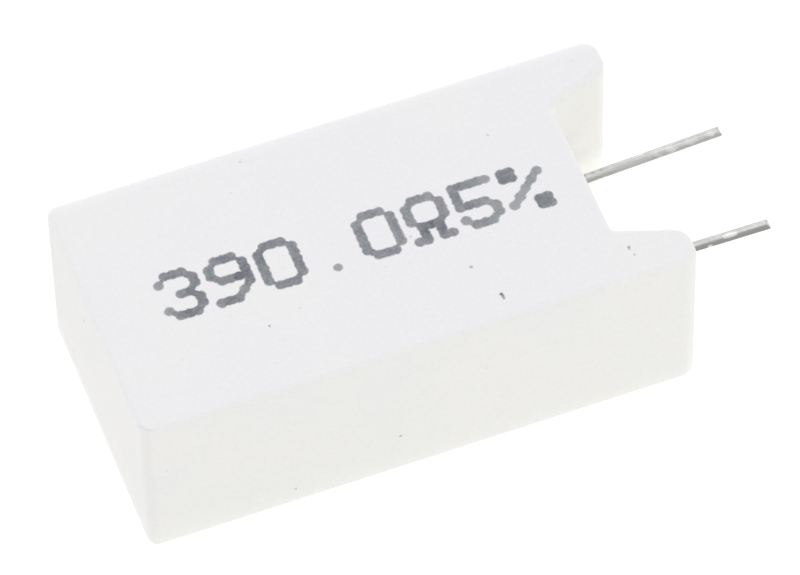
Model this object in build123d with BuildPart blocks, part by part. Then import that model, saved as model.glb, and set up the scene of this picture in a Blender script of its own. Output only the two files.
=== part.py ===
"""Board-mount wirewound resistor: a wound core potted with cement in a white ceramic case.

Frame: the case lies on its broad back face at z = 0. +X runs along the case from its closed
end to the feet and the leads, and +Z is the normal of the broad face that carries the rating.
The origin is the centre of the back face. Lengths are millimetres and angles are degrees.
"""

from build123d import *
from math import radians, tan
import os

# Ceramic case
case_length = 26.0  # closed end to the tips of the feet
case_width = 13.0
case_thickness = 9.0
end_corner = 0.5  # upright corners of the closed end
edge_round = 0.3  # soft edge all round both broad faces

# Feet, the two stand-offs beside the leads
foot_height = 3.1  # floor between the feet to their tips
foot_gap = 7.2  # clear width at that floor
foot_slope = 20.0  # lean of each inner flank
foot_root = 0.3  # inside corner between flank and floor
foot_inner_round = 0.8
foot_outer_round = 0.75

# Pocket for the wound core, open at the floor between the feet
pocket_width = 6.4
broad_wall = 1.6
end_wall = 1.8
pocket_corner = 0.9

# Cement
cement_recess = 0.25  # surface below the mouth of the pocket
collar_height = 0.2  # cement drawn up round each lead
collar_foot = 0.35  # how far the collar spreads from the lead at its foot
collar_rim = 0.05  # and at its top

# Leads
lead_diameter = 0.45
lead_pitch = 5.2
lead_height = 4.1  # axis above the back face
lead_beyond_feet = 4.9
rear_trim = 0.1  # the lead on the +Y side is cut this much shorter
lead_upright = 1.1  # straight out of the floor before the splay begins
splay_radius = 3.0
rear_splay = 2.4  # outward lean of the lead on the +Y side
front_splay = 0.8  # outward lean of the lead on the -Y side
cut_ridge = 0.08  # flat left between the two facets where a lead was cut off
cut_slope = 45.0  # lean of those facets from the wire's axis
crank_run = 2.6  # along X, where the straight lead moves out to its pitch
crank_radius = 0.9
crank_end = 0.6  # straight wire at either end of the crank
return_radius = 0.9  # the two bends that fold the other lead back
return_straight = 0.6  # wire between the deep cap and the first bend
return_cover = 0.75  # cement between the fold and the closed end of the pocket

# Wound core
rod_diameter = 3.2
rod_offset = 0.9  # rod axis from the middle of the case, towards +Y
rod_chamfer = 0.15
cap_depth = 2.0
cap_wall = 0.25
cap_bevel = 0.15
cap_fit = 0.01
ribbon_width = 0.3
ribbon_thickness = 0.1
ribbon_fit = 0.01
winding_turns = 10

# Places along X
foot_tip = case_length / 2
floor = foot_tip - foot_height
closed_end = -case_length / 2
pocket_end = closed_end + end_wall
cement_face = floor - cement_recess
lead_end = foot_tip + lead_beyond_feet
splay_start = floor + lead_upright
return_bend = pocket_end + return_cover + lead_diameter / 2
deep_cap_face = return_bend + return_radius + return_straight
crank_start = cement_face - crank_end - crank_run
mouth_cap_face = crank_start - crank_end

# Places across the case and above its back face
rear_lead_y = lead_pitch / 2
front_lead_y = -lead_pitch / 2
tip_gap = foot_gap + 2 * foot_height * tan(radians(foot_slope))
tip_width = (case_width - tip_gap) / 2
mid_height = case_thickness / 2

# The rounds at the tip of a foot share its width
outer_round = min(foot_outer_round, tip_width / 2)
inner_round = min(foot_inner_round, tip_width / 2)

# Radii round the core
rod_radius = rod_diameter / 2
cap_radius = rod_radius + cap_fit + cap_wall
coil_radius = rod_radius + ribbon_fit + ribbon_thickness / 2


def across_x(x, y=0.0, z=0.0):
    """Plane square to the case's length, with its normal along +X."""
    return Plane(origin=(x, y, z), x_dir=(0, 1, 0), z_dir=(1, 0, 0))


def facing_back(x, y=0.0, z=0.0):
    """Plane square to the case's length, with its normal along -X."""
    return Plane(origin=(x, y, z), x_dir=(0, -1, 0), z_dir=(-1, 0, 0))


# The space that the pocket takes out of the case, and that the cement fills
with BuildPart() as pocket:
    with BuildSketch(facing_back(floor, z=mid_height)):
        RectangleRounded(pocket_width, case_thickness - 2 * broad_wall, pocket_corner)
    extrude(amount=floor - pocket_end)

# Case: one pressed ceramic piece, a rounded block with two feet and the pocket
with BuildPart() as ceramic_case:
    with BuildSketch():
        with BuildLine():
            FilletPolyline(
                (closed_end, -case_width / 2),
                (foot_tip, -case_width / 2),
                (foot_tip, -tip_gap / 2),
                (floor, -foot_gap / 2),
                (floor, foot_gap / 2),
                (foot_tip, tip_gap / 2),
                (foot_tip, case_width / 2),
                (closed_end, case_width / 2),
                radius=[
                    end_corner,
                    outer_round,
                    inner_round,
                    foot_root,
                    foot_root,
                    inner_round,
                    outer_round,
                    end_corner,
                ],
                close=True,
            )
        make_face()
    extrude(amount=case_thickness)
    broad_faces = faces().filter_by(Axis.Z)
    fillet(broad_faces.edges(), edge_round)
    add(pocket.part, mode=Mode.SUBTRACT)
ceramic_case.part.label = "ceramic_case"

# Rod: plain ceramic, seated against the inside of both caps
with BuildPart() as core_rod:
    with BuildSketch(across_x(deep_cap_face + cap_wall, rod_offset, lead_height)):
        Circle(rod_radius)
    extrude(amount=mouth_cap_face - deep_cap_face - 2 * cap_wall)
    chamfer(edges().filter_by(GeomType.CIRCLE), rod_chamfer)
core_rod.part.label = "core_rod"


def end_cap(outer_plane):
    """Drawn steel cup over one end of the rod, its closed face on the given plane."""
    with BuildPart() as cup:
        with BuildSketch(outer_plane):
            Circle(cap_radius)
        extrude(amount=-cap_depth)
        rim = faces().sort_by_distance(outer_plane.origin)[0]
        chamfer(rim.edges(), cap_bevel)
        with BuildSketch(outer_plane.offset(-cap_wall)):
            Circle(rod_radius + cap_fit)
        extrude(amount=cap_wall - cap_depth, mode=Mode.SUBTRACT)
    return cup.part


deep_cap = end_cap(facing_back(deep_cap_face, rod_offset, lead_height))
deep_cap.label = "deep_cap"
mouth_cap = end_cap(across_x(mouth_cap_face, rod_offset, lead_height))
mouth_cap.label = "mouth_cap"

# Winding: one layer of resistance ribbon, from the skirt of one cap to the skirt of the other
winding_start = deep_cap_face + cap_depth + ribbon_fit + ribbon_width / 2
winding_end = mouth_cap_face - cap_depth - ribbon_fit - ribbon_width / 2
winding_length = winding_end - winding_start
with BuildPart() as resistance_winding:
    with BuildLine():
        coil = Helix(
            pitch=winding_length / winding_turns,
            height=winding_length,
            radius=coil_radius,
            center=(winding_start, rod_offset, lead_height),
            direction=(1, 0, 0),
        )
    across_ribbon = (coil @ 0) - Vector(winding_start, rod_offset, lead_height)
    with BuildSketch(Plane(origin=coil @ 0, x_dir=across_ribbon, z_dir=coil % 0)):
        Rectangle(ribbon_thickness, ribbon_width)
    sweep(path=coil, is_frenet=True)
resistance_winding.part.label = "resistance_winding"


def bent_lead(route, bends):
    """Round wire along a flat route at the leads' height, its outer tip pinched off by cutters."""
    with BuildPart() as wire:
        with BuildLine():
            path = FilletPolyline([(x, y, lead_height) for x, y in route], radius=bends)
        with BuildSketch(Plane(origin=path @ 0, z_dir=path % 0)):
            Circle(lead_diameter / 2)
        sweep(path=path)
        # Two facets, above and below the axis, meet in a narrow ridge across the tip
        facet_height = lead_diameter - cut_ridge / 2
        facet_run = facet_height / tan(radians(cut_slope))
        beside_tip = Plane(origin=path @ 1, x_dir=path % 1, z_dir=(path % 1).cross(Vector(0, 0, 1)))
        with BuildSketch(beside_tip):
            with BuildLine():
                Polyline((0, cut_ridge / 2), (-facet_run, lead_diameter), (0, lead_diameter), close=True)
            make_face()
            mirror(about=Plane.XZ)
        extrude(amount=lead_diameter, both=True, mode=Mode.SUBTRACT)
    return wire.part


def splayed_tip(side, splay, trim=0.0):
    """End of a lead that leaves the floor at its pitch and then leans outward."""
    tip_x = lead_end - trim
    return tip_x, side * (lead_pitch / 2 + (tip_x - splay_start) * tan(radians(splay)))


# Straight lead: welded to the mouth cap and cranked out to its pitch
straight_lead = bent_lead(
    [
        (mouth_cap_face, rod_offset),
        (crank_start, rod_offset),
        (crank_start + crank_run, rear_lead_y),
        (splay_start, rear_lead_y),
        splayed_tip(1, rear_splay, rear_trim),
    ],
    [crank_radius, crank_radius, splay_radius],
)
straight_lead.label = "straight_lead"

# Return lead: welded to the deep cap, folded back and run out beside the core
return_lead = bent_lead(
    [
        (deep_cap_face, rod_offset),
        (return_bend, rod_offset),
        (return_bend, front_lead_y),
        (splay_start, front_lead_y),
        splayed_tip(-1, front_splay),
    ],
    [return_radius, return_radius, splay_radius],
)
return_lead.label = "return_lead"

# The space that the capped core and its winding take up in the cement
with BuildPart() as core_space:
    with BuildSketch(across_x(deep_cap_face, rod_offset, lead_height)):
        Circle(cap_radius)
    extrude(amount=mouth_cap_face - deep_cap_face)
    chamfer(edges().filter_by(GeomType.CIRCLE), cap_bevel)

# Cement: fills the pocket round the core and the leads, a little below the mouth
with BuildPart() as cement_fill:
    add(pocket.part)
    split(bisect_by=facing_back(cement_face))
    for lead_y in (rear_lead_y, front_lead_y):
        with Locations(across_x(cement_face, lead_y, lead_height)):
            Cone(
                lead_diameter / 2 + collar_foot,
                lead_diameter / 2 + collar_rim,
                collar_height,
                align=(Align.CENTER, Align.CENTER, Align.MIN),
            )
    for inner_piece in (core_space.part, straight_lead, return_lead):
        add(inner_piece, mode=Mode.SUBTRACT)
cement_fill.part.label = "cement_fill"

os.makedirs("parts", exist_ok=True)
pieces = [
    ceramic_case.part,
    cement_fill.part,
    core_rod.part,
    resistance_winding.part,
    deep_cap,
    mouth_cap,
    straight_lead,
    return_lead,
]
for piece in pieces:
    export_step(piece, f"parts/{piece.label}.step")
    print(piece.label, round(piece.volume, 2), piece.bounding_box())
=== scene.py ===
import bmesh
import bpy
from math import cos, hypot, pi, radians, sin
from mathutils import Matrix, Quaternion, Vector


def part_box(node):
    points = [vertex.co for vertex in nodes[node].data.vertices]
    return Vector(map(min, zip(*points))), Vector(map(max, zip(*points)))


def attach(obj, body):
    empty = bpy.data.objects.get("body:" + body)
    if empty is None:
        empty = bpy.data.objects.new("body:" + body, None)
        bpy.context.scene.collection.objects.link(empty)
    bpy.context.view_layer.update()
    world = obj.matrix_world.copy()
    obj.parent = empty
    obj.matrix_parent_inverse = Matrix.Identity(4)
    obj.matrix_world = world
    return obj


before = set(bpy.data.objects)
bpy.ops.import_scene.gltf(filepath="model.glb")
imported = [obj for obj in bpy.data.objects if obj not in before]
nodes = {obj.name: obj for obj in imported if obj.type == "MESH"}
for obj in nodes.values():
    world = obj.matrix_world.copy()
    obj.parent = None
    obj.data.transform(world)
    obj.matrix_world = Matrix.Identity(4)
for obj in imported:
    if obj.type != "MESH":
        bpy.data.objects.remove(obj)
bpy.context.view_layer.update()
caseLow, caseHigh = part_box("ceramic_case")
mm = 0.001
print("frame loaded:", ", ".join(sorted(nodes)))


# Small helpers for node trees

def fill(tree, node, inputs):  # each named input gets another node's output or a plain value
    for name, value in inputs.items():
        socket = node.inputs[name]
        if isinstance(value, bpy.types.NodeSocket):
            tree.links.new(value, socket)
        else:
            socket.default_value = value


def addNode(tree, kind, inputs=None, **settings):
    made = tree.nodes.new(kind)
    for name, value in settings.items():
        setattr(made, name, value)
    fill(tree, made, inputs or {})
    return made


def maths(tree, operation, *values):
    return addNode(tree, "ShaderNodeMath", dict(enumerate(values)), operation=operation).outputs[0]


def vectorMaths(tree, operation, first, second=(0, 0, 0), scale=1.0):
    inputs = {0: first, 1: second, 3: scale}  # socket 3 is the node's scale
    made = addNode(tree, "ShaderNodeVectorMath", inputs, operation=operation)
    return made.outputs["Value" if operation in ("DISTANCE", "DOT_PRODUCT", "LENGTH") else "Vector"]


def axesOf(tree, place):
    return addNode(tree, "ShaderNodeSeparateXYZ", {"Vector": place}).outputs


def colour(red, green, blue):  # 0 to 255 as on a screen, to the linear values that Blender stores
    channels = []
    for level in (red, green, blue):
        share = level / 255
        channels.append(share / 12.92 if share <= 0.04045 else ((share + 0.055) / 1.055) ** 2.4)
    return (*channels, 1.0)


def startMaterial(name, plain):
    material = bpy.data.materials.new(name)
    material.use_nodes = True
    tree = material.node_tree
    shader = tree.nodes["Principled BSDF"]
    fill(tree, shader, plain)
    return material, tree, shader


def objectPlace(tree, stretch=(1, 1, 1)):
    place = tree.nodes.new("ShaderNodeTexCoord").outputs["Object"]
    if stretch == (1, 1, 1):
        return place
    return addNode(tree, "ShaderNodeMapping", {"Vector": place, "Scale": stretch}).outputs["Vector"]


def noise(tree, place, size, detail=2.0, rough=0.5, distort=0.0):  # size of a blotch in millimetres
    made = addNode(tree, "ShaderNodeTexNoise", {
        "Vector": place,
        "Scale": 1 / (size * mm),
        "Detail": detail,
        "Roughness": rough,
        "Distortion": distort,
    })
    return made.outputs["Fac"]


def remap(tree, value, low, high, toLow=0.0, toHigh=1.0, course="SMOOTHSTEP"):
    inputs = {"Value": value, "From Min": low, "From Max": high, "To Min": toLow, "To Max": toHigh}
    return addNode(tree, "ShaderNodeMapRange", inputs, interpolation_type=course).outputs["Result"]


def mixColour(tree, share, first, second, mode="MIX"):  # sockets 6, 7 and 2 are the node's colours
    inputs = {0: share, 6: first, 7: second}
    return addNode(tree, "ShaderNodeMix", inputs, data_type="RGBA", blend_type=mode).outputs[2]


def bump(tree, height, depth, normal=None):  # depth in millimetres for a height of one
    inputs = {"Height": height, "Distance": depth * mm}
    if normal is not None:
        inputs["Normal"] = normal
    return addNode(tree, "ShaderNodeBump", inputs).outputs["Normal"]


def paint(node, material):
    for slot in nodes[node].material_slots:
        slot.material = material


# White ceramic of the case

ceramicLook = {
    "body": colour(239, 239, 239),
    "cool": colour(234, 235, 237),
    "warm": colour(241, 240, 236),
    # colour of the dirt, also used for the painted shade line round the corner
    "dirtAndShade": colour(70, 68, 66),
    "gloss": 0.35,
    "roughness": (0.5, 0.64),  # least and most, with the grain
    "patchSize": 6.0,  # sizes, radii, depths and places are in millimetres
    "patchCut": (0.35, 0.65),  # levels of the noise between which a pattern fades in, here and below
    "patchShare": 0.22,
    "grainSize": 0.16,
    "grainCut": (0.35, 0.75),
    "grainShare": 0.16,
    "grainDepth": 0.002,
    "roughCut": (0.3, 0.7),
    "speckSpacing": 2.6,
    "speckRadius": 0.06,
    "speckRarity": 0.8,
    "speckShare": 0.35,
    "pinSpacing": 1.0,  # pinholes
    "pinRadius": 0.085,
    "pinRarity": 0.45,
    "pinShare": 0.08,
    "wobbleSize": 0.09,  # how the outline of a mark wavers
    "wobbleReach": 0.08,
    "rim": colour(255, 255, 254),  # painted highlight along the upper rear edge
    "edgeHighlightAcross": (5.7, 6.5),
    "edgeHighlightUp": (8.3, 8.8),
    "rimShare": 0.27,
    "rippleSize": 2.2,
    "rippleDepth": 0.006,
    "pitSpacing": 0.9,
    "pitRadius": 0.05,
    "pitDepth": 0.01,
    "chipDepth": 0.03,
}
# Dirt specks and nicks: along from the closed end, across, up, radius, strength
caseMarks = [
    (23.24, -4.83, 9.0, 0.09, 0.60),
    (23.21, -4.92, 9.0, 0.07, 0.40),
    (23.32, -5.29, 9.0, 0.08, 0.30),
    (17.12, -5.14, 9.0, 0.115, 0.82),
    (17.15, -5.25, 9.0, 0.09, 0.74),
    (17.15, -5.34, 9.0, 0.08, 0.62),
    (17.14, -5.42, 9.0, 0.07, 0.50),
    (7.10, -3.07, 9.0, 0.085, 0.45),
    (19.65, 3.11, 9.0, 0.10, 0.24),
    (16.41, -3.30, 9.0, 0.105, 0.52),
    (14.51, -0.83, 9.0, 0.10, 0.20),
    (24.63, 5.59, 9.0, 0.15, 0.06),
    (11.81, -6.5, 2.63, 0.11, 0.38),
    (6.84, -6.5, 1.11, 0.10, 0.34),
    (8.67, -2.65, 9.0, 0.09, 0.14),
    (8.91, 5.71, 9.0, 0.11, 0.20),
    (7.96, 4.26, 9.0, 0.08, 0.10),
    (0.0, 1.43, 7.06, 0.12, 0.30),
    (0.0, 3.63, 1.83, 0.11, 0.30),
]
# Painted shade: a thin dark line round the rounded front corner of the closed end
cornerShadeLine = {
    "centre": (0.72, -5.72, 8.9),
    "radius": 0.66,
    "girth": 0.09,
    "middle": (0.22, -6.16, 8.9),
    "reach": 0.55,
    "strength": 0.09,
}


def markMask(tree, place, centre, radius, core=0.4):  # core is the share of the radius that is full
    gap = vectorMaths(tree, "DISTANCE", place, centre)
    return remap(tree, gap, radius * mm, radius * core * mm)


def alongCase(place):  # millimetres from the closed end, across and up, as a place in the frame
    return Vector((caseLow.x + place[0] * mm, place[1] * mm, place[2] * mm))


def wobblePattern(tree, place, size):  # wavers round a half in each of the three axes
    made = addNode(tree, "ShaderNodeTexNoise", {"Vector": place, "Scale": 1 / (size * mm)})
    return made.outputs["Color"]


def cellPattern(tree, place, spacing):
    made = addNode(tree, "ShaderNodeTexVoronoi", {"Vector": place, "Scale": 1 / (spacing * mm)})
    return made.outputs


def sparsePoints(tree, place, spacing, radius, rarity, core=0.5):  # round marks, in a few cells only
    cells = cellPattern(tree, place, spacing)
    lot = addNode(tree, "ShaderNodeSeparateColor", {"Color": cells["Color"]}).outputs["Red"]
    edge = radius / spacing
    marks = remap(tree, cells["Distance"], edge, edge * core)
    return maths(tree, "MULTIPLY", remap(tree, lot, rarity, 1.0), marks)


def pitField(tree, place, spacing, radius, core=0.3):  # a height of 1 with a round pit in each cell
    edge = radius / spacing
    return remap(tree, cellPattern(tree, place, spacing)["Distance"], edge * core, edge)


# painted shade: a thin dark line along the rounded front corner
def cornerShade(tree, place):
    line = cornerShadeLine
    level = vectorMaths(tree, "MULTIPLY", place, (1, 1, 0))
    centre = alongCase(line["centre"])
    centre.z = 0.0
    gap = vectorMaths(tree, "DISTANCE", level, centre)
    off = maths(tree, "ABSOLUTE", maths(tree, "SUBTRACT", gap, line["radius"] * mm))
    ring = remap(tree, off, line["girth"] * mm, 0.0)
    near = markMask(tree, place, alongCase(line["middle"]), line["reach"])
    return maths(tree, "MULTIPLY", maths(tree, "MULTIPLY", ring, near), line["strength"])


def makeCeramic():
    look = ceramicLook
    material, tree, shader = startMaterial("whiteCeramic", {"Specular IOR Level": look["gloss"]})
    place = objectPlace(tree)
    # faint cool and warm patches under a fine grain
    patches = remap(tree, noise(tree, place, look["patchSize"], detail=3.0), *look["patchCut"])
    grain = noise(tree, place, look["grainSize"], detail=3.0, rough=0.6)
    tint = mixColour(tree, patches, look["cool"], look["warm"])
    tint = mixColour(tree, look["patchShare"], look["body"], tint)
    grained = remap(tree, grain, *look["grainCut"], 0.0, look["grainShare"])
    tint = mixColour(tree, grained, tint, look["cool"], "MULTIPLY")
    # dirt and painted shade: scattered specks and pinholes, the painted shade line round the corner, then
    # the marks one by one
    specks = sparsePoints(tree, place, look["speckSpacing"], look["speckRadius"], look["speckRarity"])
    pinholes = sparsePoints(tree, place, look["pinSpacing"], look["pinRadius"], look["pinRarity"])
    dirtAndShade = maths(tree, "MULTIPLY", specks, look["speckShare"])
    dirtAndShade = maths(tree, "MULTIPLY_ADD", pinholes, look["pinShare"], dirtAndShade)
    dirtAndShade = maths(tree, "MAXIMUM", dirtAndShade, cornerShade(tree, place))
    reach = look["wobbleReach"] * mm
    wobble = vectorMaths(tree, "SCALE", wobblePattern(tree, place, look["wobbleSize"]), scale=reach)
    shaken = vectorMaths(tree, "ADD", place, wobble)
    drift = Vector((reach, reach, reach)) / 2  # how far the wobble moves everything
    for along, across, up, radius, strength in caseMarks:
        mask = markMask(tree, shaken, alongCase((along, across, up)) + drift, radius)
        dirtAndShade = maths(tree, "MAXIMUM", dirtAndShade, maths(tree, "MULTIPLY", mask, strength))
    axes = axesOf(tree, place)
    # painted highlight: a pale band along the upper rear edge
    across = remap(tree, axes["Y"], *(edge * mm for edge in look["edgeHighlightAcross"]), 0.0, look["rimShare"])
    up = remap(tree, axes["Z"], *(edge * mm for edge in look["edgeHighlightUp"]))
    tint = mixColour(tree, maths(tree, "MULTIPLY", across, up), tint, look["rim"])
    tint = mixColour(tree, dirtAndShade, tint, look["dirtAndShade"])
    # relief: ripples, grain and pits, and the dirt and the painted shade line lie a little deeper
    relief = bump(tree, noise(tree, place, look["rippleSize"]), look["rippleDepth"])
    relief = bump(tree, grain, look["grainDepth"], relief)
    pits = pitField(tree, place, look["pitSpacing"], look["pitRadius"])
    relief = bump(tree, pits, look["pitDepth"], relief)
    relief = bump(tree, maths(tree, "SUBTRACT", 1.0, dirtAndShade), look["chipDepth"], relief)
    rough = remap(tree, grain, *look["roughCut"], *look["roughness"])
    fill(tree, shader, {"Base Color": tint, "Roughness": rough, "Normal": relief})
    return material


paint("ceramic_case", makeCeramic())
print("ceramic case finished")


# Tinned wire leads

tinLook = {
    "bright": colour(196, 196, 194),
    "dull": colour(178, 179, 175),
    "shaded": colour(168, 168, 165),  # painted shade on the lower side of the rear wire
    "shadedFront": colour(144, 144, 142),  # and of the front one
    # painted highlight on the wires
    "highlight": colour(216, 216, 214),
    "shadedSide": (0.0, -0.97, 0.26),  # the lower front side of each wire, which gets the painted shade
    "shadedCut": (0.68, 0.88),  # how squarely the surface faces that side
    "rearShift": 0.12,  # the painted shade covers less of the rear wire's girth
    "upperSide": (0.0, 0.83, 0.55),  # the upper back side, which gets painted shade
    "upperCut": (0.25, 0.85),
    "upperShadeTint": colour(230, 230, 230),
    "roughness": (0.3, 0.5),  # least and most, with the blotches
    "roughCut": (0.3, 0.7),
    "streakLength": 1.8,  # millimetres, as the depths are
    "streakWidth": 0.11,
    "streakCut": (0.38, 0.62),
    "streakFray": 0.35,  # how much the streaks fray the edge of the painted shade
    "streakDepth": 0.006,
    "blotchSize": 0.5,
    "blotchCut": (0.5, 0.72),
    "blotchShare": 0.6,
    "blotchFray": 0.3,
    "blotchDepth": 0.012,
}
# Painted highlights, and near the root of the rear wire the pale case painted in as a reflection: along from
# the closed end, across, up, radius, strength
tinHighlights = [
    (25.02, 2.45, 3.99, 0.14, 0.90),
    (24.30, 2.81, 4.23, 0.34, 1.00),
    (24.72, 2.82, 4.22, 0.32, 1.00),
    (25.12, 2.80, 4.24, 0.26, 0.60),
    (25.35, 2.72, 4.27, 0.22, 0.35),
    (27.60, 2.68, 4.20, 0.19, 0.45),
    (27.76, 2.63, 4.11, 0.17, 0.50),
    (28.22, 2.68, 4.24, 0.20, 0.40),
    (28.38, 2.64, 4.17, 0.22, 0.50),
    (28.56, 2.66, 4.20, 0.16, 0.30),
    (29.14, 2.73, 4.28, 0.19, 0.30),
    (29.36, 2.71, 4.23, 0.21, 0.35),
    (29.58, 2.74, 4.29, 0.16, 0.30),
    (30.20, 2.79, 4.31, 0.17, 0.35),
    (30.36, 2.76, 4.29, 0.18, 0.50),
    (30.76, 2.885, 4.12, 0.20, 0.95),
    (27.99, -2.86, 4.06, 0.17, 1.00),
    (28.76, -2.765, 4.32, 0.15, 0.80),
    (28.92, -2.765, 4.32, 0.17, 0.95),
    (29.08, -2.765, 4.32, 0.17, 0.95),
    (29.23, -2.765, 4.32, 0.15, 0.80),
    (30.86, -2.696, 4.12, 0.22, 0.95),
]
# Stretches of the rear wire that have gone dull all round, in the same figures
tinStains = [
    (25.80, 2.66, 4.1, 0.45, 0.90),
    (26.10, 2.66, 4.1, 0.45, 0.70),
    (26.45, 2.68, 4.1, 0.50, 0.90),
    (26.95, 2.70, 4.1, 0.50, 0.85),
]


def makeTin():
    look = tinLook
    material, tree, shader = startMaterial("tinnedWire", {"Metallic": 1.0})
    place = objectPlace(tree)
    stretched = objectPlace(tree, (look["streakWidth"] / look["streakLength"], 1, 1))
    streaks = noise(tree, stretched, look["streakWidth"], detail=3.0, rough=0.6)
    blotches = noise(tree, place, look["blotchSize"], detail=3.0, rough=0.6, distort=0.4)
    tint = mixColour(tree, remap(tree, streaks, *look["streakCut"]), look["dull"], look["bright"])
    blotched = remap(tree, blotches, *look["blotchCut"], 0.0, look["blotchShare"])
    tint = mixColour(tree, blotched, tint, look["bright"])
    # painted shade: the lower front side of each wire is darkened as a dark reflection would darken it, with
    # a frayed edge
    normal = addNode(tree, "ShaderNodeNewGeometry").outputs["Normal"]
    shadeFacing = vectorMaths(tree, "DOT_PRODUCT", normal, look["shadedSide"])
    for pattern, fray in ((streaks, look["streakFray"]), (blotches, look["blotchFray"])):
        shadeFacing = maths(tree, "MULTIPLY_ADD", maths(tree, "SUBTRACT", pattern, 0.5), fray, shadeFacing)
    isRear = remap(tree, axesOf(tree, place)["Y"], -mm, mm)
    shadeFacing = maths(tree, "MULTIPLY_ADD", isRear, -look["rearShift"], shadeFacing)
    shaded = mixColour(tree, isRear, look["shadedFront"], look["shaded"])
    tint = mixColour(tree, remap(tree, shadeFacing, *look["shadedCut"]), tint, shaded)
    # painted shade on the upper back side of each wire
    upperShade = remap(tree, vectorMaths(tree, "DOT_PRODUCT", normal, look["upperSide"]), *look["upperCut"])
    tint = mixColour(tree, upperShade, tint, look["upperShadeTint"], "MULTIPLY")
    # dull stretches of the rear wire, then the painted highlights
    for spots, shade in ((tinStains, look["dull"]), (tinHighlights, look["highlight"])):
        for along, across, up, radius, strength in spots:
            mask = markMask(tree, place, alongCase((along, across, up)), radius)
            tint = mixColour(tree, maths(tree, "MULTIPLY", mask, strength), tint, shade)
    relief = bump(tree, blotches, look["blotchDepth"], bump(tree, streaks, look["streakDepth"]))
    rough = remap(tree, blotches, *look["roughCut"], *look["roughness"])
    fill(tree, shader, {"Base Color": tint, "Roughness": rough, "Normal": relief})
    return material


tin = makeTin()
paint("straight_lead", tin)
paint("return_lead", tin)
print("leads finished")


# Cement in the mouth of the case

cementLook = {
    "pale": colour(226, 224, 217),
    "dark": colour(203, 200, 192),
    "roughness": 0.9,
    "gloss": 0.25,
    "cloudSize": 1.4,  # millimetres, as all below but the cuts and the share
    "cloudCut": (0.35, 0.65),
    "sandSize": 0.22,
    "sandCut": (0.4, 0.7),
    "sandShare": 0.5,
    "sandDepth": 0.02,
    "pitSpacing": 0.7,
    "pitRadius": 0.12,
    "pitDepth": 0.05,
}


def makeCement():
    look = cementLook
    plain = {"Roughness": look["roughness"], "Specular IOR Level": look["gloss"]}
    material, tree, shader = startMaterial("cement", plain)
    place = objectPlace(tree)
    clouds = noise(tree, place, look["cloudSize"], detail=4.0, rough=0.6)
    grit = noise(tree, place, look["sandSize"], detail=4.0, rough=0.65)
    tint = mixColour(tree, remap(tree, clouds, *look["cloudCut"]), look["dark"], look["pale"])
    sanded = remap(tree, grit, *look["sandCut"], 0.0, look["sandShare"])
    tint = mixColour(tree, sanded, tint, look["dark"], "MULTIPLY")
    relief = bump(tree, grit, look["sandDepth"])
    pits = pitField(tree, place, look["pitSpacing"], look["pitRadius"])
    relief = bump(tree, pits, look["pitDepth"], relief)
    fill(tree, shader, {"Base Color": tint, "Normal": relief})
    return material


cement = makeCement()
paint("cement_fill", cement)
print("cement finished")


# Printed rating: dots of ink in a five by seven matrix

ink = {
    "cells": ["3", "9", "0", ".", "0", "ohm", "5", "percent"],
    "firstColumn": 3.3,  # millimetres from the closed end
    "topRow": 1.05,  # above the middle of the face
    "cellPitch": 2.3,
    "columnPitch": 0.39,
    "rowPitch": 0.367,
    "drift": -0.0085,  # the line runs down by this share of its length
    "dotRadius": 0.268,
    "dotHeight": 0.005,
    "dotCrown": 0.55,  # flat top of a dot, as a share of its radius
    "dotSides": 20,
    "dotRings": 3,
    "lowestDot": 0.5,  # as a share of the height
    "heightStep": 0.618034,  # from dot to dot, golden ratio, so that neighbours never share a height
    "girths": (0.95, 1.05),  # least and most spread of a dot
    "loneGirth": 0.86,  # a dot that stands alone spreads less
    "linkGirth": 0.9,  # ink drawn in between two dots side by side, as a share of a dot
    "slantGirths": (0.74, 0.42, 0.6),  # and between two dots on a slant, in turn
    "linkSteps": 4,
    "slantShare": 0.7,  # ink that a neighbour on a slant adds, against one beside
    "fade": 0.24,  # the ink runs this much thinner towards the end of the line
    "sideways": 0.014,  # how far a dot strays
    "ragged": 0.022,  # how far its edge strays
    "wanderSize": 0.13,
    "wanderGain": 4,  # the noise keeps near its middle, so it is stretched
    "seed": 7,
    "girthSeed": 11,  # added to the seed for the spread of the dots
}
inkLook = {
    "thin": colour(163, 164, 166),
    "middle": colour(129, 133, 137),
    "thick": colour(87, 92, 98),
    "rim": colour(214, 215, 219),
    "rimCut": (0.72, 1.0),
    "rimShare": 0.85,
    "violet": colour(255, 252, 255),
    "violetCut": (0.42, 0.58),
    "green": colour(250, 255, 252),
    "greenCut": (0.52, 0.38),
    "roughness": 0.6,
    "gloss": 0.3,
    "mottleSize": 0.17,  # millimetres, as the other sizes and the depth
    "mottleShare": 1.0,
    "mottleDepth": 0.002,
    "poolSize": 1.3,
    "poolShare": 0.9,
    "hueSize": 0.9,
}
dotRows = {
    "3": ".###. #...# ....# ..##. ....# #...# .###.",
    "9": ".###. #...# #...# .#### ....# ...#. ###..",
    "0": ".###. #...# #...# #...# #...# #...# .###.",
    "5": "##### #.... #.... ####. ....# #...# .###.",
    ".": "..... ..... ..... ..... ..... ..... ..#..",
    "ohm": ".###. #...# #...# #...# .###. .#.#. ##.##",
    "percent": "##... ##..# ...#. ..#.. .#... #..## ...##",
}


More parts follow.
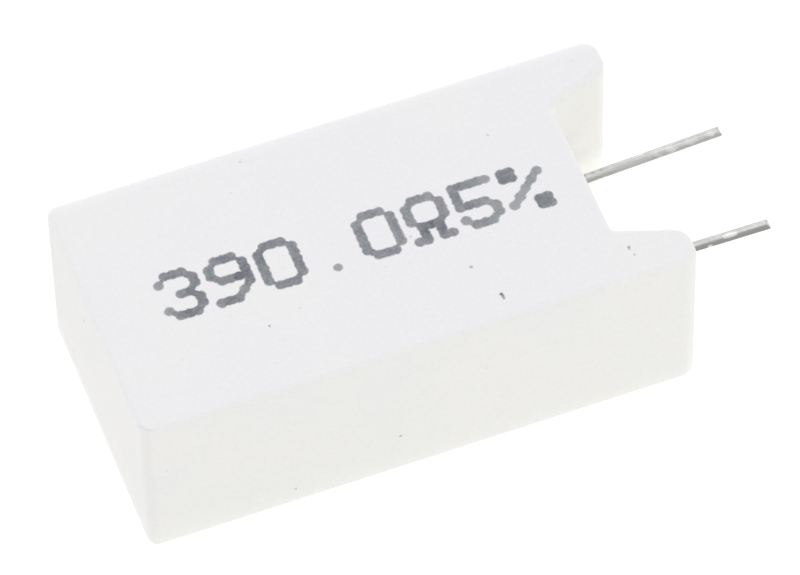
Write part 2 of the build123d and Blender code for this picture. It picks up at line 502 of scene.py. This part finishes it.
def makeInk():
    look = inkLook
    plain = {"Roughness": look["roughness"], "Specular IOR Level": look["gloss"]}
    material, tree, shader = startMaterial("ratingInk", plain)
    place = objectPlace(tree)
    depth = addNode(tree, "ShaderNodeAttribute", attribute_name="coats").outputs["Fac"]
    rim = addNode(tree, "ShaderNodeAttribute", attribute_name="rim").outputs["Fac"]
    mottle = noise(tree, place, look["mottleSize"], detail=3.0, rough=0.6)
    pool = noise(tree, place, look["poolSize"])
    for pattern, share in ((mottle, look["mottleShare"]), (pool, look["poolShare"])):
        depth = maths(tree, "MULTIPLY_ADD", maths(tree, "SUBTRACT", pattern, 0.5), share, depth)
    tint = mixColour(tree, remap(tree, depth, 0.0, 0.5, course="LINEAR"), look["thin"], look["middle"])
    tint = mixColour(tree, remap(tree, depth, 0.5, 1.0, course="LINEAR"), tint, look["thick"])
    hue = noise(tree, place, look["hueSize"], detail=1.0)
    for cut, cast in ((look["violetCut"], look["violet"]), (look["greenCut"], look["green"])):
        tint = mixColour(tree, remap(tree, hue, *cut), tint, cast, "MULTIPLY")
    tint = mixColour(tree, remap(tree, rim, *look["rimCut"], 0.0, look["rimShare"]), tint, look["rim"])
    fill(tree, shader, {"Base Color": tint, "Normal": bump(tree, mottle, look["mottleDepth"])})
    return material


def newTree(name, sizes):  # a Geometry Nodes tree, its named inputs and its result
    tree = bpy.data.node_groups.new(name, "GeometryNodeTree")
    tree.interface.new_socket("Geometry", in_out="INPUT", socket_type="NodeSocketGeometry")
    for label in sizes:
        kind = "NodeSocketInt" if label == "Seed" else "NodeSocketFloat"
        tree.interface.new_socket(label, in_out="INPUT", socket_type=kind)
    tree.interface.new_socket("Geometry", in_out="OUTPUT", socket_type="NodeSocketGeometry")
    given = tree.nodes.new("NodeGroupInput").outputs
    return tree, given, tree.nodes.new("NodeGroupOutput")


def bakeTree(name, points, tree, sizes):  # runs the tree on points or faces and keeps a plain mesh
    carrier = bpy.data.objects.new(name + "Source", points)
    bpy.context.scene.collection.objects.link(carrier)
    modifier = carrier.modifiers.new("shape", "NODES")
    modifier.node_group = tree
    for item in tree.interface.items_tree:
        if item.item_type == "SOCKET" and item.in_out == "INPUT" and item.name in sizes:
            modifier[item.identifier] = sizes[item.name]
    shown = carrier.evaluated_get(bpy.context.evaluated_depsgraph_get())
    mesh = bpy.data.meshes.new_from_object(shown)
    carrier.modifiers.remove(modifier)
    bpy.data.objects.remove(carrier)
    piece = bpy.data.objects.new(name, mesh)
    bpy.context.scene.collection.objects.link(piece)
    print(name, "made:", len(mesh.polygons), "faces")
    return piece


def dotPlaces():  # place, girth and coats of ink of every dot and of the ink drawn in between two
    places, girths, coats = [], [], []

    def addDot(cell, column, row, girth, coat):
        along = ink["firstColumn"] + cell * ink["cellPitch"] + column * ink["columnPitch"]
        across = ink["topRow"] - row * ink["rowPitch"] + ink["drift"] * (along - ink["firstColumn"])
        places.append((caseLow.x + along * mm, across * mm, caseHigh.z))
        girths.append(girth)
        coats.append(coat - ink["fade"] * cell / len(ink["cells"]))

    def coatOf(lit, column, row):  # more ink where dots crowd together
        beside = sum((column + dx, row + dy) in lit for dx, dy in ((1, 0), (-1, 0), (0, 1), (0, -1)))
        aslant = sum((column + dx, row + dy) in lit for dx in (1, -1) for dy in (1, -1))
        return min(1.0, (beside + ink["slantShare"] * aslant) / 4)

    steps = ink["linkSteps"]
    for cell, glyph in enumerate(ink["cells"]):
        lit = {(column, row) for row, line in enumerate(dotRows[glyph].split())
               for column, dot in enumerate(line) if dot == "#"}
        for column, row in sorted(lit):
            coat = coatOf(lit, column, row)
            addDot(cell, column, row, ink["loneGirth"] if len(lit) == 1 else 1.0, coat)
            for dx, dy in ((1, 0), (0, 1), (1, 1), (-1, 1)):
                other = (column + dx, row + dy)
                slanting = dx != 0 and dy != 0
                filled = (column + dx, row) in lit or (column, row + dy) in lit
                if other not in lit or (slanting and filled):
                    continue
                slantGirth = ink["slantGirths"][(cell + column + row) % len(ink["slantGirths"])]
                girth = slantGirth if slanting else ink["linkGirth"]
                for step in range(1, steps):
                    share = step / steps
                    blend = coat + (coatOf(lit, *other) - coat) * share
                    addDot(cell, column + dx * share, row + dy * share, girth, blend)
    return places, girths, coats


def randomValue(tree, low, high, seed):
    inputs = {2: low, 3: high, "Seed": seed}  # sockets 2 and 3 are the ends of a plain range
    return addNode(tree, "FunctionNodeRandomValue", inputs, data_type="FLOAT").outputs[1]


def randomVector(tree, low, high, seed):
    inputs = {0: low, 1: high, "Seed": seed}  # and 0 and 1 those of a range of vectors
    return addNode(tree, "FunctionNodeRandomValue", inputs, data_type="FLOAT_VECTOR").outputs[0]


def endTree(tree, result, geometry, material):  # gives the shape its material and sends it out
    painted = addNode(tree, "GeometryNodeSetMaterial", {"Geometry": geometry, "Material": material})
    tree.links.new(painted.outputs[0], result.inputs[0])
    return tree


def makeDotTree(material):
    tree, given, result = newTree("inkDots", ["Dot Radius", "Dot Height", "Sideways", "Ragged", "Seed"])
    # one dot: a low dome whose skirt meets the face, with its distance from the middle kept as "rim"
    dot = addNode(tree, "GeometryNodeMeshCone", {
        "Vertices": ink["dotSides"],
        "Side Segments": ink["dotRings"],
        "Radius Top": ink["dotCrown"],
        "Radius Bottom": 1.0,
        "Depth": 1.0,
    })
    position = tree.nodes.new("GeometryNodeInputPosition").outputs[0]
    fromMiddle = vectorMaths(tree, "LENGTH", vectorMaths(tree, "MULTIPLY", position, (1, 1, 0)))
    stored = {"Geometry": dot.outputs["Mesh"], "Name": "rim", "Value": fromMiddle}
    rimmed = addNode(tree, "GeometryNodeStoreNamedAttribute", stored, data_type="FLOAT", domain="POINT")
    stray = given["Sideways"]
    back = maths(tree, "MULTIPLY", stray, -1)
    strayLow = addNode(tree, "ShaderNodeCombineXYZ", {0: back, 1: back}).outputs[0]
    strayHigh = addNode(tree, "ShaderNodeCombineXYZ", {0: stray, 1: stray}).outputs[0]
    strayed = randomVector(tree, strayLow, strayHigh, given["Seed"])
    moved = addNode(tree, "GeometryNodeSetPosition", {"Geometry": given["Geometry"], "Offset": strayed})
    girthSeed = maths(tree, "ADD", given["Seed"], ink["girthSeed"])
    across = maths(tree, "MULTIPLY", given["Dot Radius"], randomValue(tree, *ink["girths"], girthSeed))
    girth = addNode(tree, "GeometryNodeInputNamedAttribute", {"Name": "girth"}, data_type="FLOAT")
    across = maths(tree, "MULTIPLY", across, girth.outputs[0])
    # each dot has a height of its own, so that flat tops that overlap don't fight
    step = maths(tree, "MULTIPLY", tree.nodes.new("GeometryNodeInputIndex").outputs[0], ink["heightStep"])
    lowest = ink["lowestDot"]
    rank = maths(tree, "MULTIPLY_ADD", maths(tree, "FRACT", step), 1 - lowest, lowest)
    height = maths(tree, "MULTIPLY", given["Dot Height"], rank)
    size = addNode(tree, "ShaderNodeCombineXYZ", {0: across, 1: across, 2: height}).outputs[0]
    dots = addNode(tree, "GeometryNodeInstanceOnPoints", {
        "Points": moved.outputs[0], "Instance": rimmed.outputs[0], "Scale": size})
    real = addNode(tree, "GeometryNodeRealizeInstances", {"Geometry": dots.outputs[0]})
    # the edge of each dot wanders a little, as ink does on a dry face
    wander = wobblePattern(tree, position, ink["wanderSize"])
    wander = vectorMaths(tree, "SUBTRACT", wander, (0.5, 0.5, 0.5))
    wander = vectorMaths(tree, "MULTIPLY", wander, (ink["wanderGain"], ink["wanderGain"], 0))
    wander = vectorMaths(tree, "SCALE", wander, scale=given["Ragged"])
    frayed = addNode(tree, "GeometryNodeSetPosition", {"Geometry": real.outputs[0], "Offset": wander})
    return endTree(tree, result, frayed.outputs[0], material)


def printRating():
    places, girths, coats = dotPlaces()
    points = bpy.data.meshes.new("dotPoints")
    points.from_pydata(places, [], [])
    for name, values in (("girth", girths), ("coats", coats)):
        points.attributes.new(name, "FLOAT", "POINT").data.foreach_set("value", values)
    sizes = {
        "Dot Radius": ink["dotRadius"] * mm,
        "Dot Height": ink["dotHeight"] * mm,
        "Sideways": ink["sideways"] * mm,
        "Ragged": ink["ragged"] * mm,
        "Seed": ink["seed"],
    }
    return bakeTree("rating_ink", points, makeDotTree(makeInk()), sizes)


rating = printRating()
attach(rating, "root")


# Sand grains that stand out of the cement

sand = {
    "along": 22.65,  # surface of the cement, millimetres from the closed end
    "halfWidth": 3.05,
    "low": 1.75,
    "high": 7.25,
    "square": 0.25,
    "leads": [(2.6, 4.1), (-2.6, 4.1)],  # across and up
    "leadClearance": 0.85,
    "perSquareMillimetre": 7.0,
    "grainRadius": 0.075,
    "flattest": 0.3,  # a grain's thinnest side, as a share of its radius
    "seed": 5,
    "turnSeed": 3,  # added to the seed for the turn of the grains
}


def cementSquares():  # the open surface round the leads, as small squares
    size = sand["square"]
    columns = round(2 * sand["halfWidth"] / size)
    rows = round((sand["high"] - sand["low"]) / size)
    corners, squares = [], []
    for column in range(columns):
        for row in range(rows):
            across = -sand["halfWidth"] + column * size
            up = sand["low"] + row * size
            gaps = [hypot(across + size / 2 - y, up + size / 2 - z) for y, z in sand["leads"]]
            inCorner = column in (0, columns - 1) and row in (0, rows - 1)
            if min(gaps) < sand["leadClearance"] or inCorner:
                continue
            first = len(corners)
            for dy, dz in ((0, 0), (size, 0), (size, size), (0, size)):
                corners.append(alongCase((sand["along"], across + dy, up + dz)))
            squares.append((first, first + 1, first + 2, first + 3))
    mesh = bpy.data.meshes.new("cementSquares")
    mesh.from_pydata(corners, [], squares)
    return mesh


def makeGrainTree(material):
    tree, given, result = newTree("sandGrains", ["Density", "Grain Radius", "Seed"])
    spread = addNode(tree, "GeometryNodeDistributePointsOnFaces", {
        "Mesh": given["Geometry"], "Density": given["Density"], "Seed": given["Seed"]})
    grain = addNode(tree, "GeometryNodeMeshIcoSphere", {"Radius": 1.0, "Subdivisions": 2})
    shares = randomVector(tree, (sand["flattest"],) * 3, (1, 1, 1), given["Seed"])
    size = vectorMaths(tree, "SCALE", shares, scale=given["Grain Radius"])
    turnSeed = maths(tree, "ADD", given["Seed"], sand["turnSeed"])
    turn = randomVector(tree, (0, 0, 0), (pi, pi, pi), turnSeed)
    grains = addNode(tree, "GeometryNodeInstanceOnPoints", {
        "Points": spread.outputs["Points"],
        "Instance": grain.outputs["Mesh"],
        "Rotation": turn,
        "Scale": size,
    })
    real = addNode(tree, "GeometryNodeRealizeInstances", {"Geometry": grains.outputs[0]})
    return endTree(tree, result, real.outputs[0], material)


sandSizes = {
    "Density": sand["perSquareMillimetre"] / mm ** 2,
    "Grain Radius": sand["grainRadius"] * mm,
    "Seed": sand["seed"],
}
grains = bakeTree("cement_grains", cementSquares(), makeGrainTree(cement), sandSizes)
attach(grains, "root")


# Inner pieces: rod, winding and caps

rodLook = {
    "plain": {"Roughness": 0.7, "Specular IOR Level": 0.3},
    "colours": (colour(232, 226, 212), colour(214, 206, 190)),
    "stretch": (1, 1, 1),
    "cloud": (0.3, 3.0),  # size in millimetres and detail of the noise
    "grain": (0.1, 3.0),
    "grainDepth": 0.004,
}
ribbonLook = {
    "plain": {"Metallic": 1.0, "Roughness": 0.4},
    "colours": (colour(150, 140, 128), colour(112, 104, 96)),
    "stretch": (1, 1, 1),
    "cloud": (0.4, 3.0),
    "grain": (0.05, 2.0),
    "grainDepth": 0.002,
}
capLook = {
    "plain": {"Metallic": 1.0, "Roughness": 0.35},
    "colours": (colour(182, 182, 180), colour(206, 206, 204)),
    "stretch": (0.1, 1, 1),  # lines that the drawing die leaves along the skirt
    "cloud": (0.05, 2.0),
    "grain": (0.05, 2.0),
    "grainDepth": 0.002,
}


def makeInnerFinish(name, look):
    material, tree, shader = startMaterial(name, look["plain"])
    place = objectPlace(tree, look["stretch"])
    tint = mixColour(tree, noise(tree, place, *look["cloud"]), *look["colours"])
    relief = bump(tree, noise(tree, place, *look["grain"]), look["grainDepth"])
    fill(tree, shader, {"Base Color": tint, "Normal": relief})
    return material


paint("core_rod", makeInnerFinish("coreCeramic", rodLook))
paint("resistance_winding", makeInnerFinish("resistanceWire", ribbonLook))
capSteel = makeInnerFinish("capSteel", capLook)
paint("deep_cap", capSteel)
paint("mouth_cap", capSteel)
print("inner pieces finished")


# Floor, lamps and room

studio = {
    "floorRadius": 1.6,  # metres, as the other lengths
    "floorSides": 64,
    "floorDrop": 0.00002,
    "floorColour": colour(244, 244, 243),
    "floorGlow": 0.88,  # share of plain white that the floor shows to the camera
    "floorShadow": 0.2,  # and the share that the object's shadow can take away
    "floorLift": 0.15,  # light that the white paper gives off by itself into the corners
    "liftColour": (0.98, 0.97, 0.82, 1.0),
    "footLift": 0.34,  # more of it close to the case, which lights the lower edges
    "footReach": 0.0014,
    "notchLift": 0.54,  # more of it on the paper under the leads, which lights the inside of the feet
    "notchPlace": (0.0145, 0.001, 0.0),
    "notchReach": 0.007,
    "notchCore": 0.3,  # the share of that reach with the whole of it
    "roomLevel": 0.637,
    "roomColour": (0.997, 0.996, 0.998, 1.0),
}
lamps = {  # place and size in metres, level is the lamp's own brightness
    "overheadBox": {"place": (-0.06, 0.05, 0.50), "size": 0.42, "level": 1.16, "tint": (1.0, 0.985, 1.1)},
    "leftBox": {"place": (-0.52, -0.06, 0.16), "size": 0.36, "level": 1.0, "tint": (1.0, 0.98, 0.9)},
    "rightBox": {"place": (0.40, -0.34, 0.12), "size": 0.32, "level": 2.2, "tint": (1.0, 0.99, 0.88)},
    "backBox": {"place": (0.12, 0.50, 0.20), "size": 0.32, "level": 1.7, "tint": (1.0, 0.99, 1.0)},
}


def whiteWhereSeen(tree):  # 1 for rays that show the background, straight or in metal and glass
    path = tree.nodes.new("ShaderNodeLightPath").outputs
    seen = maths(tree, "MAXIMUM", path["Is Camera Ray"], path["Is Glossy Ray"])
    return maths(tree, "MAXIMUM", seen, path["Is Transmission Ray"])


def makeRoom():
    world = bpy.data.worlds.new("studioRoom")
    world.use_nodes = True
    tree = world.node_tree
    tree.nodes.clear()
    dim = addNode(tree, "ShaderNodeBackground", {
        "Color": studio["roomColour"], "Strength": studio["roomLevel"]}).outputs[0]
    white = addNode(tree, "ShaderNodeBackground", {"Color": (1, 1, 1, 1), "Strength": 1.0}).outputs[0]
    both = addNode(tree, "ShaderNodeMixShader", {0: whiteWhereSeen(tree), 1: dim, 2: white})
    addNode(tree, "ShaderNodeOutputWorld", {"Surface": both.outputs[0]})
    bpy.context.scene.world = world


def paperGlow(tree):  # the paper's own light: some everywhere, more under the leads and beside the case
    place = objectPlace(tree)
    least, reach = studio["floorLift"], studio["notchReach"]
    most = least + studio["notchLift"]
    gap = vectorMaths(tree, "DISTANCE", place, studio["notchPlace"])
    underLeads = remap(tree, gap, reach, reach * studio["notchCore"], least, most)
    axes = axesOf(tree, place)
    overX = maths(tree, "SUBTRACT", maths(tree, "ABSOLUTE", axes["X"]), caseHigh.x)
    overY = maths(tree, "SUBTRACT", maths(tree, "ABSOLUTE", axes["Y"]), caseHigh.y)
    clear = maths(tree, "ABSOLUTE", maths(tree, "MAXIMUM", overX, overY))
    besideCase = remap(tree, clear, studio["footReach"], 0.0, 0.0, studio["footLift"])
    return maths(tree, "ADD", underLeads, besideCase)


def makePaper():
    material = bpy.data.materials.new("paleFloor")
    material.use_nodes = True
    tree = material.node_tree
    tree.nodes.clear()
    paper = addNode(tree, "ShaderNodeBsdfDiffuse", {"Color": studio["floorColour"]}).outputs[0]
    lift = addNode(tree, "ShaderNodeEmission", {
        "Color": studio["liftColour"], "Strength": paperGlow(tree)}).outputs[0]
    lifted = addNode(tree, "ShaderNodeAddShader", {0: paper, 1: lift}).outputs[0]
    shade = studio["floorShadow"]
    shaded = addNode(tree, "ShaderNodeBsdfDiffuse", {"Color": (shade, shade, shade, 1)}).outputs[0]
    glow = addNode(tree, "ShaderNodeEmission", {
        "Color": (1, 1, 1, 1), "Strength": studio["floorGlow"]}).outputs[0]
    white = addNode(tree, "ShaderNodeAddShader", {0: shaded, 1: glow}).outputs[0]
    both = addNode(tree, "ShaderNodeMixShader", {0: whiteWhereSeen(tree), 1: lifted, 2: white})
    addNode(tree, "ShaderNodeOutputMaterial", {"Surface": both.outputs[0]})
    return material


def makeFloor():
    mesh = bpy.data.meshes.new("floor")
    disc = bmesh.new()
    bmesh.ops.create_circle(disc, cap_ends=True, segments=studio["floorSides"], radius=studio["floorRadius"])
    bmesh.ops.translate(disc, verts=disc.verts, vec=(0, 0, caseLow.z - studio["floorDrop"]))
    disc.to_mesh(mesh)
    disc.free()
    mesh.materials.append(makePaper())
    floor = bpy.data.objects.new("floor", mesh)
    bpy.context.scene.collection.objects.link(floor)


def makeLamps():
    middle = (caseLow + caseHigh) / 2
    for name, lamp in lamps.items():
        light = bpy.data.lights.new(name, "AREA")
        light.shape = "SQUARE"
        light.size = lamp["size"]
        light.energy = lamp["level"] * pi * lamp["size"] ** 2  # watts that give this brightness
        light.color = lamp["tint"]
        thing = bpy.data.objects.new(name, light)
        thing.location = lamp["place"]
        thing.rotation_euler = (middle - thing.location).to_track_quat("-Z", "Y").to_euler()
        bpy.context.scene.collection.objects.link(thing)


makeRoom()
makeFloor()
makeLamps()
print("studio finished")


# Camera

cameraSetup = {
    "aim": (1.152, -0.283, 4.582),  # millimetres
    "azimuth": -19.44,  # degrees
    "elevation": 54.93,
    "roll": -1.471,
    "distance": 305.85,
    "lens": 309.4,
    "sensor": 36,
    "nearest": 0.01,  # metres
    "farthest": 10,
}


def makeCamera():
    setup = cameraSetup
    around = radians(setup["azimuth"])
    above = radians(setup["elevation"])
    back = Vector((sin(around) * cos(above), -cos(around) * cos(above), sin(above)))
    data = bpy.data.cameras.new("camera")
    data.lens = setup["lens"]
    data.sensor_width = setup["sensor"]
    data.clip_start = setup["nearest"]
    data.clip_end = setup["farthest"]
    camera = bpy.data.objects.new("camera", data)
    camera.location = (Vector(setup["aim"]) + back * setup["distance"]) * mm
    camera.rotation_mode = "QUATERNION"
    tilt = Quaternion((0, 0, 1), radians(setup["roll"]))
    camera.rotation_quaternion = (-back).to_track_quat("-Z", "Y") @ tilt
    bpy.context.scene.collection.objects.link(camera)
    bpy.context.scene.camera = camera


makeCamera()
bpy.context.scene.view_settings.view_transform = "Standard"
